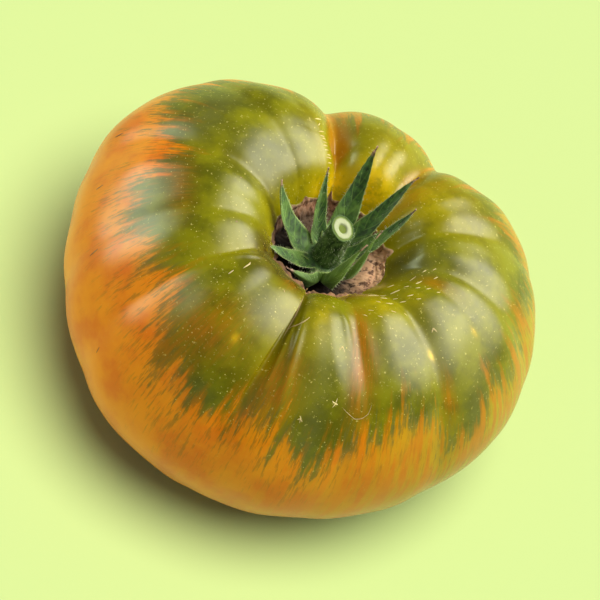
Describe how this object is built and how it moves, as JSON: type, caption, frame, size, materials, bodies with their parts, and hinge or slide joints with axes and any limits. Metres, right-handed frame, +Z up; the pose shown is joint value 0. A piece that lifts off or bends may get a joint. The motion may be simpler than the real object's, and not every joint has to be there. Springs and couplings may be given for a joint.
{
  "type": "green heirloom tomato",
  "caption": "Whole heirloom tomato, broad and ribbed, green over orange, with its calyx and a cut stalk stub in a corky hollow.",
  "frame": {"origin": "the middle of the flat spot on the underside that the tomato rests on, straight below the stalk", "axes": "+Z up along the stalk; +X and +Y lie in the resting plane, with -Y towards the side that the picture shows and the deepest crease near +Y"},
  "size_m": [0.1113, 0.1051, 0.0695],
  "materials": {
    "skin": "smooth waxy tomato skin, olive green round the stem end breaking into orange and yellow in ragged streaks, brown cork round the hollow",
    "calyx_green": "dark green leafy sepals with fine hairs and dry brown tips",
    "stalk_green": "green bark with fine hairs, and a pale cut end with a green pith"
  },
  "bodies": {
    "root": {"fruit": "skin", "calyx": "calyx_green", "stalk": "stalk_green"}
  },
  "joints": []
}
